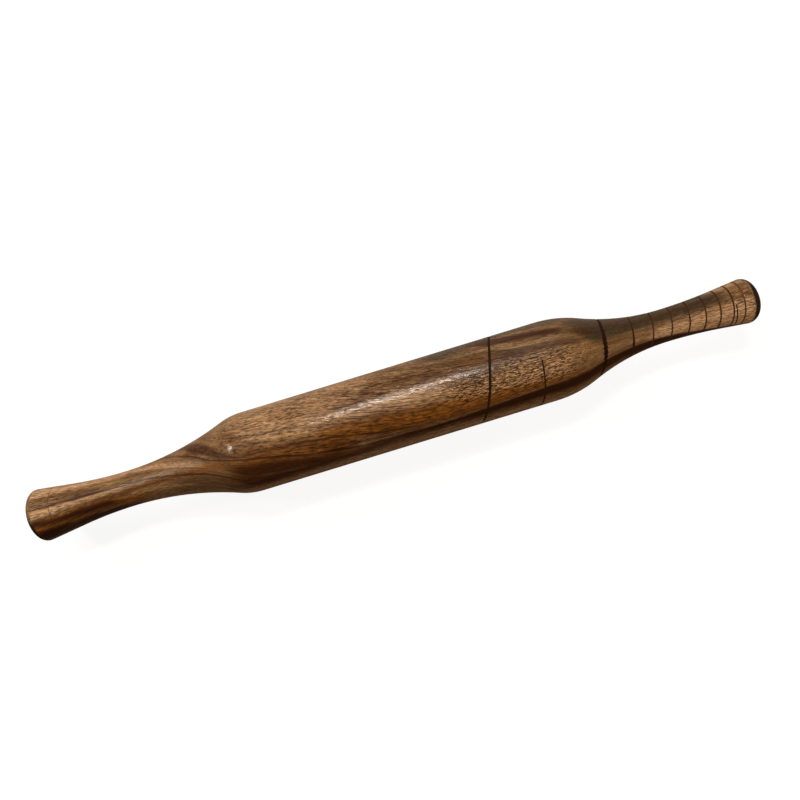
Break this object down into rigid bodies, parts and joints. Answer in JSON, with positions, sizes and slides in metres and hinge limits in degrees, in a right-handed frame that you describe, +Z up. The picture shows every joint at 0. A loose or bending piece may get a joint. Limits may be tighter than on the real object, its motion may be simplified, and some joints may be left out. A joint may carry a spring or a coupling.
{
  "type": "wooden rolling pin",
  "caption": "One-piece turned wooden rolling pin with a round barrel, hollow necks, flared grips, dark sealed ends and a dark spiral line scored round one handle.",
  "frame": {"origin": "middle of the pin's length, on the plane that the barrel lies on", "axes": "+X along the pin's axis towards the handle with the spiral line, +Y across it, +Z up from the plane that it lies on"},
  "size_m": [0.3288, 0.036, 0.036],
  "materials": {
    "varnished_sheesham": "oiled and varnished, satin",
    "dark_lac_fill": "dark lac rubbed into a scored line, matt",
    "dark_end_seal": "dark lac brushed on end grain, satin"
  },
  "bodies": {
    "root": {"turned_pin": "varnished_sheesham", "spiral_line": "dark_lac_fill", "short_line": "dark_lac_fill", "ring_line": "dark_lac_fill", "right_end_seal": "dark_end_seal", "left_end_seal": "dark_end_seal"}
  },
  "joints": []
}
